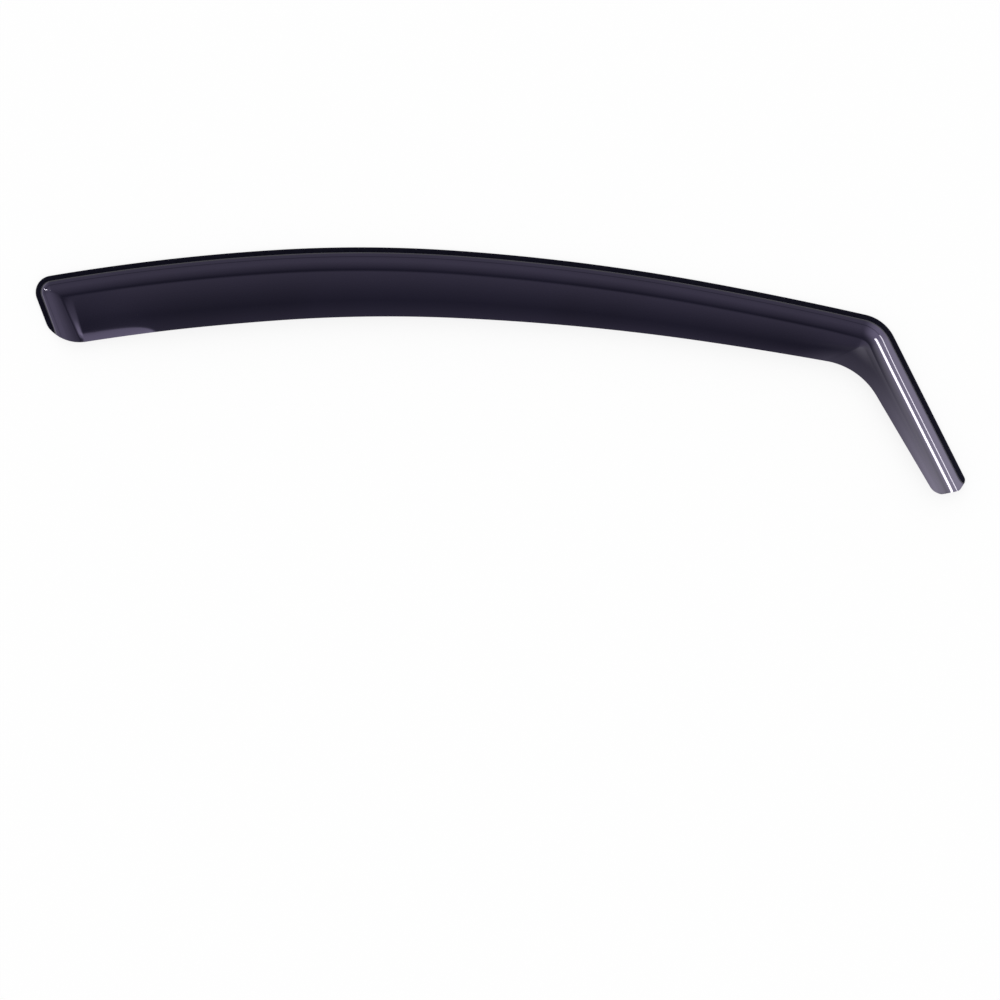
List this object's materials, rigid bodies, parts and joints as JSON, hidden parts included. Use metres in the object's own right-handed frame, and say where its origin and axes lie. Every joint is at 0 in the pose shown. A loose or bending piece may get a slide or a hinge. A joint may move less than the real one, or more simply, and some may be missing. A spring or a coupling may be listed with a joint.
{
  "type": "window rain deflector",
  "caption": "Long bowed in-channel wind and rain deflector of smoke acrylic for a side window, with a rounded rear end and a bent front leg.",
  "frame": {"origin": "on the back of the flange, halfway across it, under the highest point of the arch", "axes": "+X forward along the window to the front leg, +Y up the window, +Z away from the glass, with z = 0 the back of the flange"},
  "size_m": [0.9001, 0.2392, 0.0188],
  "materials": {
    "smoke_acrylic": "polished dark smoke acrylic with a faint violet cast"
  },
  "bodies": {
    "root": {"deflector": "smoke_acrylic"}
  },
  "joints": []
}
